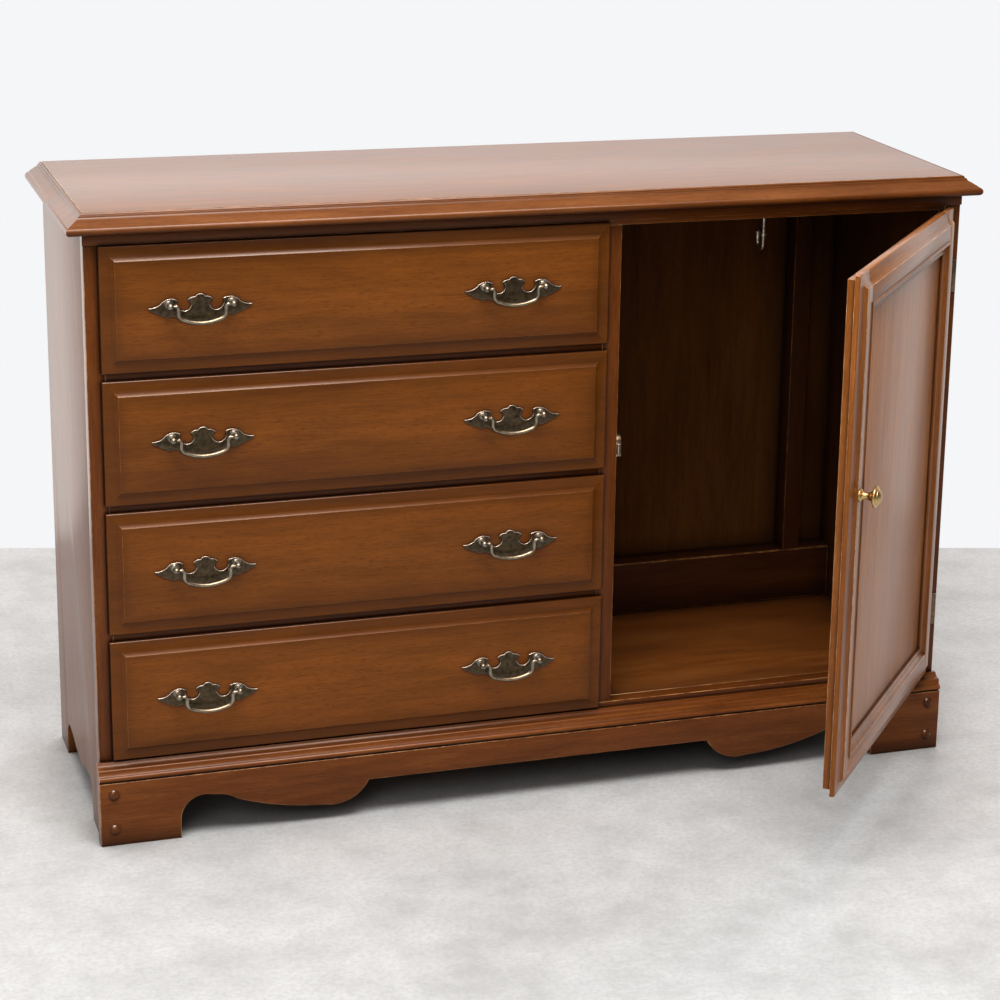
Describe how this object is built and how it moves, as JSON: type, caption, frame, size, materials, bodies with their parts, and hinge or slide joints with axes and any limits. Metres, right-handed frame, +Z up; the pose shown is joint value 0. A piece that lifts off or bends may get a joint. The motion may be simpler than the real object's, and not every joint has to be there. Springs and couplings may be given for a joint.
{
  "type": "dresser",
  "caption": "Low colonial-style dresser with a bank of lipped drawers on swan-neck bail pulls, a framed cupboard door and a scalloped bracket base.",
  "frame": {"origin": "on the floor, under the middle of the rear base board", "axes": "+X to the right as seen from the front, +Y towards the wall behind, +Z up"},
  "size_m": [1.189, 0.7181, 0.8],
  "materials": {
    "case_wood": "gloss varnish",
    "front_wood": "gloss varnish",
    "drawer_wood": "thin shellac",
    "back_plywood": "unfinished",
    "pull_brass": "antiqued",
    "knob_brass": "polished",
    "hook_brass": "dull",
    "hinge_steel": "dark plated"
  },
  "bodies": {
    "carcass": {"top_panel": "case_wood", "top_edge_moulding": "case_wood", "frieze": "case_wood", "side_panel_left": "case_wood", "side_panel_right": "case_wood", "partition": "drawer_wood", "face_stile_left": "case_wood", "face_stile_centre": "case_wood", "face_stile_right": "case_wood", "top_rail": "case_wood", "bottom_rail": "case_wood", "drawer_rails": "case_wood", "drawer_runners": "drawer_wood", "cupboard_floor": "case_wood", "back_panel": "back_plywood", "back_rails": "drawer_wood", "back_post": "drawer_wood", "base_apron": "case_wood", "base_moulding": "case_wood", "apron_pegs": "case_wood", "rear_base_board": "drawer_wood", "hinge_frame_leaves": "hinge_steel", "catch": "hinge_steel", "coat_hook": "hook_brass"},
    "door": {"door_latch_stile": "front_wood", "door_hinge_stile": "front_wood", "door_rails": "front_wood", "door_panel": "front_wood", "door_moulding": "front_wood", "door_knob": "knob_brass", "door_strike_plate": "hinge_steel", "hinge_door_leaves": "hinge_steel"},
    "drawer_1": {"drawer_1_front": "front_wood", "drawer_1_sides": "drawer_wood", "drawer_1_back": "drawer_wood", "drawer_1_bottom": "drawer_wood", "drawer_1_pulls": "pull_brass"},
    "drawer_1_bail_left": {"drawer_1_bail_left": "pull_brass"},
    "drawer_1_bail_right": {"drawer_1_bail_right": "pull_brass"},
    "drawer_2": {"drawer_2_front": "front_wood", "drawer_2_sides": "drawer_wood", "drawer_2_back": "drawer_wood", "drawer_2_bottom": "drawer_wood", "drawer_2_pulls": "pull_brass"},
    "drawer_2_bail_left": {"drawer_2_bail_left": "pull_brass"},
    "drawer_2_bail_right": {"drawer_2_bail_right": "pull_brass"},
    "drawer_3": {"drawer_3_front": "front_wood", "drawer_3_sides": "drawer_wood", "drawer_3_back": "drawer_wood", "drawer_3_bottom": "drawer_wood", "drawer_3_pulls": "pull_brass"},
    "drawer_3_bail_left": {"drawer_3_bail_left": "pull_brass"},
    "drawer_3_bail_right": {"drawer_3_bail_right": "pull_brass"},
    "drawer_4": {"drawer_4_front": "front_wood", "drawer_4_sides": "drawer_wood", "drawer_4_back": "drawer_wood", "drawer_4_bottom": "drawer_wood", "drawer_4_pulls": "pull_brass"},
    "drawer_4_bail_left": {"drawer_4_bail_left": "pull_brass"},
    "drawer_4_bail_right": {"drawer_4_bail_right": "pull_brass"}
  },
  "joints": [
    {"name": "door_hinge", "type": "hinge", "parent": "carcass", "child": "door", "pos_m": [0.5595, -0.301, 0.424], "axis": [0, 0, 1], "range_deg": [-50, 110]},
    {"name": "drawer_1_slide", "type": "slide", "parent": "carcass", "child": "drawer_1", "axis": [0, -1, 0], "range_m": [0, 0.25]},
    {"name": "drawer_1_bail_left_swing", "type": "hinge", "parent": "drawer_1", "child": "drawer_1_bail_left", "pos_m": [-0.4375, -0.3245, 0.688], "axis": [-1, 0, 0], "range_deg": [-25, 130]},
    {"name": "drawer_1_bail_right_swing", "type": "hinge", "parent": "drawer_1", "child": "drawer_1_bail_right", "pos_m": [-0.0455, -0.3245, 0.688], "axis": [-1, 0, 0], "range_deg": [-25, 130]},
    {"name": "drawer_2_slide", "type": "slide", "parent": "carcass", "child": "drawer_2", "axis": [0, -1, 0], "range_m": [0, 0.25]},
    {"name": "drawer_2_bail_left_swing", "type": "hinge", "parent": "drawer_2", "child": "drawer_2_bail_left", "pos_m": [-0.4375, -0.3245, 0.5225], "axis": [-1, 0, 0], "range_deg": [-25, 130]},
    {"name": "drawer_2_bail_right_swing", "type": "hinge", "parent": "drawer_2", "child": "drawer_2_bail_right", "pos_m": [-0.0455, -0.3245, 0.5225], "axis": [-1, 0, 0], "range_deg": [-25, 130]},
    {"name": "drawer_3_slide", "type": "slide", "parent": "carcass", "child": "drawer_3", "axis": [0, -1, 0], "range_m": [0, 0.25]},
    {"name": "drawer_3_bail_left_swing", "type": "hinge", "parent": "drawer_3", "child": "drawer_3_bail_left", "pos_m": [-0.4375, -0.3245, 0.357], "axis": [-1, 0, 0], "range_deg": [-25, 130]},
    {"name": "drawer_3_bail_right_swing", "type": "hinge", "parent": "drawer_3", "child": "drawer_3_bail_right", "pos_m": [-0.0455, -0.3245, 0.357], "axis": [-1, 0, 0], "range_deg": [-25, 130]},
    {"name": "drawer_4_slide", "type": "slide", "parent": "carcass", "child": "drawer_4", "axis": [0, -1, 0], "range_m": [0, 0.25]},
    {"name": "drawer_4_bail_left_swing", "type": "hinge", "parent": "drawer_4", "child": "drawer_4_bail_left", "pos_m": [-0.4375, -0.3245, 0.1915], "axis": [-1, 0, 0], "range_deg": [-25, 130]},
    {"name": "drawer_4_bail_right_swing", "type": "hinge", "parent": "drawer_4", "child": "drawer_4_bail_right", "pos_m": [-0.0455, -0.3245, 0.1915], "axis": [-1, 0, 0], "range_deg": [-25, 130]}
  ]
}
